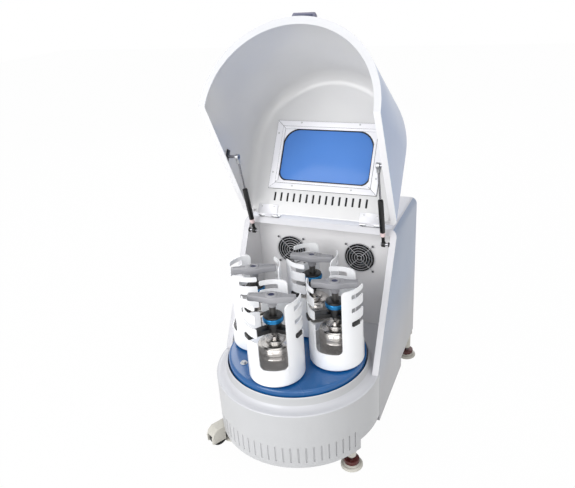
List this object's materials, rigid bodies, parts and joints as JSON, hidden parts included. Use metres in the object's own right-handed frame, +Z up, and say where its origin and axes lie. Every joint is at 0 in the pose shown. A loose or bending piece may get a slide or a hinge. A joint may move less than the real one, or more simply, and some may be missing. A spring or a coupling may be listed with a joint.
{
  "type": "planetary ball mill",
  "caption": "Floor-standing planetary ball mill with its hood raised: clamped grinding cups on a blue turning disc in a rounded white casing on levelling casters.",
  "frame": {"origin": "centre of the footprint, on the floor", "axes": "+Z up, -Y towards the front of the mill, +X to the right for someone facing its front"},
  "size_m": [0.496, 0.7228, 1.1637],
  "materials": {
    "shell": "satin",
    "hood": "semi-gloss",
    "frame": "satin",
    "pane": "tinted",
    "disc": "satin",
    "cup": "gloss",
    "steel": "brushed",
    "zinc": "bright",
    "black": "satin",
    "black_plastic": "matt",
    "grey": "satin",
    "nut": "satin",
    "grip": "satin",
    "cream": "matt",
    "rubber": "matt"
  },
  "bodies": {
    "casing": {"base_shell": "shell", "rear_housing": "shell", "bulkhead_panel": "shell", "back_cover": "shell", "chassis_plate": "zinc", "hinge_left_fixed_leaf": "zinc", "hinge_right_fixed_leaf": "zinc", "fan_left_unit": "black_plastic", "fan_right_unit": "black_plastic", "bearing_housing": "steel", "motor": "grey", "drive_belt": "rubber"},
    "hood": {"hood_shell": "hood", "window_frame": "frame", "window_pane": "pane", "hood_handle": "grip", "hinge_left_hood_leaf": "zinc", "hinge_right_hood_leaf": "zinc"},
    "disc_assembly": {"sun_disc": "disc", "main_shaft": "steel"},
    "motor_drive": {"motor_pulley": "steel"},
    "switch": {"main_switch": "black_plastic"},
    "strut_left_tube": {"strut_left_cylinder": "black"},
    "strut_left_ram": {"strut_left_rod": "steel"},
    "fan_left_wheel": {"fan_left_rotor": "black_plastic"},
    "strut_right_tube": {"strut_right_cylinder": "black"},
    "strut_right_ram": {"strut_right_rod": "steel"},
    "fan_right_wheel": {"fan_right_rotor": "black_plastic"},
    "cup_1": {"planet_cup_1": "cup", "grinding_jar_1": "steel"},
    "yoke_1": {"press_yoke_1": "black"},
    "screw_1": {"handle_screw_1": "grey"},
    "nut_1": {"lock_nut_1": "nut"},
    "cup_2": {"planet_cup_2": "cup", "grinding_jar_2": "steel"},
    "yoke_2": {"press_yoke_2": "black"},
    "screw_2": {"handle_screw_2": "grey"},
    "nut_2": {"lock_nut_2": "nut"},
    "cup_3": {"planet_cup_3": "cup", "grinding_jar_3": "steel"},
    "yoke_3": {"press_yoke_3": "black"},
    "screw_3": {"handle_screw_3": "grey"},
    "nut_3": {"lock_nut_3": "nut"},
    "cup_4": {"planet_cup_4": "cup", "grinding_jar_4": "steel"},
    "yoke_4": {"press_yoke_4": "black"},
    "screw_4": {"handle_screw_4": "grey"},
    "nut_4": {"lock_nut_4": "nut"},
    "caster_fl_swivel": {"caster_fl_housing": "cream"},
    "caster_fl_roller": {"caster_fl_wheel": "rubber"},
    "caster_fl_leg": {"caster_fl_foot": "cream"},
    "caster_fr_swivel": {"caster_fr_housing": "cream"},
    "caster_fr_roller": {"caster_fr_wheel": "rubber"},
    "caster_fr_leg": {"caster_fr_foot": "cream"},
    "caster_rl_swivel": {"caster_rl_housing": "cream"},
    "caster_rl_roller": {"caster_rl_wheel": "rubber"},
    "caster_rl_leg": {"caster_rl_foot": "cream"},
    "caster_rr_swivel": {"caster_rr_housing": "cream"},
    "caster_rr_roller": {"caster_rr_wheel": "rubber"},
    "caster_rr_leg": {"caster_rr_foot": "cream"}
  },
  "joints": [
    {"name": "hood_hinge", "type": "hinge", "parent": "casing", "child": "hood", "pos_m": [0, 0.078, 0.5971], "axis": [1, 0, 0], "range_deg": [0, 122]},
    {"name": "strut_left_swing", "type": "hinge", "parent": "casing", "child": "strut_left_tube", "pos_m": [-0.2, 0.0605, 0.551], "axis": [1, 0, 0], "range_deg": [0, 125.2]},
    {"name": "strut_left_stroke", "type": "slide", "parent": "strut_left_tube", "child": "strut_left_ram", "axis": [0, -0.2401, 0.9707], "range_m": [-0.08592, 0]},
    {"name": "fan_left_spin", "type": "hinge", "parent": "casing", "child": "fan_left_wheel", "pos_m": [-0.11, 0.1321, 0.466], "axis": [0, 1, 0], "continuous": true},
    {"name": "strut_right_swing", "type": "hinge", "parent": "casing", "child": "strut_right_tube", "pos_m": [0.2, 0.0605, 0.551], "axis": [1, 0, 0], "range_deg": [0, 125.2]},
    {"name": "strut_right_stroke", "type": "slide", "parent": "strut_right_tube", "child": "strut_right_ram", "axis": [0, -0.2401, 0.9707], "range_m": [-0.08592, 0]},
    {"name": "fan_right_spin", "type": "hinge", "parent": "casing", "child": "fan_right_wheel", "pos_m": [0.11, 0.1321, 0.466], "axis": [0, 1, 0], "continuous": true},
    {"name": "disc_spin", "type": "hinge", "parent": "casing", "child": "disc_assembly", "pos_m": [0, -0.1265, 0.262], "axis": [0, 0, 1], "continuous": true},
    {"name": "motor_spin", "type": "hinge", "parent": "casing", "child": "motor_drive", "pos_m": [0, 0.2335, 0.084], "axis": [0, 0, 1], "continuous": true},
    {"name": "cup_1_spin", "type": "hinge", "parent": "disc_assembly", "child": "cup_1", "pos_m": [-0.0089, -0.24767, 0.292], "axis": [0, 0, 1], "continuous": true},
    {"name": "yoke_1_turn", "type": "hinge", "parent": "cup_1", "child": "yoke_1", "pos_m": [-0.0089, -0.24767, 0.43], "axis": [0, 0, 1], "range_deg": [0, 30]},
    {"name": "screw_1_turn", "type": "hinge", "parent": "yoke_1", "child": "screw_1", "pos_m": [-0.0089, -0.24767, 0.517], "axis": [0, 0, 1], "range_deg": [0, 360]},
    {"name": "nut_1_turn", "type": "hinge", "parent": "screw_1", "child": "nut_1", "pos_m": [-0.0089, -0.24767, 0.46], "axis": [0, 0, 1], "range_deg": [0, 360]},
    {"name": "cup_2_spin", "type": "hinge", "parent": "disc_assembly", "child": "cup_2", "pos_m": [0.12117, -0.1354, 0.292], "axis": [0, 0, 1], "continuous": true},
    {"name": "yoke_2_turn", "type": "hinge", "parent": "cup_2", "child": "yoke_2", "pos_m": [0.12117, -0.1354, 0.43], "axis": [0, 0, 1], "range_deg": [0, 30]},
    {"name": "screw_2_turn", "type": "hinge", "parent": "yoke_2", "child": "screw_2", "pos_m": [0.12117, -0.1354, 0.517], "axis": [0, 0, 1], "range_deg": [0, 360]},
    {"name": "nut_2_turn", "type": "hinge", "parent": "screw_2", "child": "nut_2", "pos_m": [0.12117, -0.1354, 0.46], "axis": [0, 0, 1], "range_deg": [0, 360]},
    {"name": "cup_3_spin", "type": "hinge", "parent": "disc_assembly", "child": "cup_3", "pos_m": [0.0089, -0.00533, 0.292], "axis": [0, 0, 1], "continuous": true},
    {"name": "yoke_3_turn", "type": "hinge", "parent": "cup_3", "child": "yoke_3", "pos_m": [0.0089, -0.00533, 0.43], "axis": [0, 0, 1], "range_deg": [0, 30]},
    {"name": "screw_3_turn", "type": "hinge", "parent": "yoke_3", "child": "screw_3", "pos_m": [0.0089, -0.00533, 0.517], "axis": [0, 0, 1], "range_deg": [0, 360]},
    {"name": "nut_3_turn", "type": "hinge", "parent": "screw_3", "child": "nut_3", "pos_m": [0.0089, -0.00533, 0.46], "axis": [0, 0, 1], "range_deg": [0, 360]},
    {"name": "cup_4_spin", "type": "hinge", "parent": "disc_assembly", "child": "cup_4", "pos_m": [-0.12117, -0.1176, 0.292], "axis": [0, 0, 1], "continuous": true},
    {"name": "yoke_4_turn", "type": "hinge", "parent": "cup_4", "child": "yoke_4", "pos_m": [-0.12117, -0.1176, 0.43], "axis": [0, 0, 1], "range_deg": [0, 30]},
    {"name": "screw_4_turn", "type": "hinge", "parent": "yoke_4", "child": "screw_4", "pos_m": [-0.12117, -0.1176, 0.517], "axis": [0, 0, 1], "range_deg": [0, 360]},
    {"name": "nut_4_turn", "type": "hinge", "parent": "screw_4", "child": "nut_4", "pos_m": [-0.12117, -0.1176, 0.46], "axis": [0, 0, 1], "range_deg": [0, 360]},
    {"name": "caster_fl_turn", "type": "hinge", "parent": "casing", "child": "caster_fl_swivel", "pos_m": [-0.186, -0.2265, 0.08], "axis": [0, 0, 1], "continuous": true},
    {"name": "caster_fl_roll", "type": "hinge", "parent": "caster_fl_swivel", "child": "caster_fl_roller", "pos_m": [-0.21009, -0.27032, 0.0265], "axis": [0.8763, -0.4818, 0], "continuous": true},
    {"name": "caster_fl_level", "type": "slide", "parent": "caster_fl_swivel", "child": "caster_fl_leg", "axis": [0, 0, 1], "range_m": [-0.01, 0.004]},
    {"name": "caster_fr_turn", "type": "hinge", "parent": "casing", "child": "caster_fr_swivel", "pos_m": [0.186, -0.2265, 0.08], "axis": [0, 0, 1], "continuous": true},
    {"name": "caster_fr_roll", "type": "hinge", "parent": "caster_fr_swivel", "child": "caster_fr_roller", "pos_m": [0.15661, -0.18605, 0.0265], "axis": [-0.809, -0.5878, 0], "continuous": true},
    {"name": "caster_fr_level", "type": "slide", "parent": "caster_fr_swivel", "child": "caster_fr_leg", "axis": [0, 0, 1], "range_m": [-0.01, 0.004]},
    {"name": "caster_rl_turn", "type": "hinge", "parent": "casing", "child": "caster_rl_swivel", "pos_m": [-0.217, 0.3305, 0.08], "axis": [0, 0, 1], "continuous": true},
    {"name": "caster_rl_roll", "type": "hinge", "parent": "caster_rl_swivel", "child": "caster_rl_roller", "pos_m": [-0.17001, 0.3134, 0.0265], "axis": [0.342, 0.9397, 0], "continuous": true},
    {"name": "caster_rl_level", "type": "slide", "parent": "caster_rl_swivel", "child": "caster_rl_leg", "axis": [0, 0, 1], "range_m": [-0.01, 0.004]},
    {"name": "caster_rr_turn", "type": "hinge", "parent": "casing", "child": "caster_rr_swivel", "pos_m": [0.217, 0.3305, 0.08], "axis": [0, 0, 1], "continuous": true},
    {"name": "caster_rr_roll", "type": "hinge", "parent": "caster_rr_swivel", "child": "caster_rr_roller", "pos_m": [0.17001, 0.3134, 0.0265], "axis": [0.342, -0.9397, 0], "continuous": true},
    {"name": "caster_rr_level", "type": "slide", "parent": "caster_rr_swivel", "child": "caster_rr_leg", "axis": [0, 0, 1], "range_m": [-0.01, 0.004]},
    {"name": "main_switch_rock", "type": "hinge", "parent": "casing", "child": "switch", "pos_m": [-0.08, 0.3405, 0.48], "axis": [1, 0, 0], "range_deg": [0, 12]}
  ],
  "couplings": [
    {"joint": "strut_left_swing", "follows": "hood_hinge", "ratio": 1.0237},
    {"joint": "strut_left_stroke", "follows": "hood_hinge", "m_per_rad": -0.040208},
    {"joint": "strut_right_swing", "follows": "hood_hinge", "ratio": 1.0237},
    {"joint": "strut_right_stroke", "follows": "hood_hinge", "m_per_rad": -0.040208},
    {"joint": "motor_spin", "follows": "disc_spin", "ratio": 2},
    {"joint": "cup_1_spin", "follows": "disc_spin", "ratio": 2},
    {"joint": "cup_2_spin", "follows": "disc_spin", "ratio": 2},
    {"joint": "cup_3_spin", "follows": "disc_spin", "ratio": 2},
    {"joint": "cup_4_spin", "follows": "disc_spin", "ratio": 2}
  ]
}
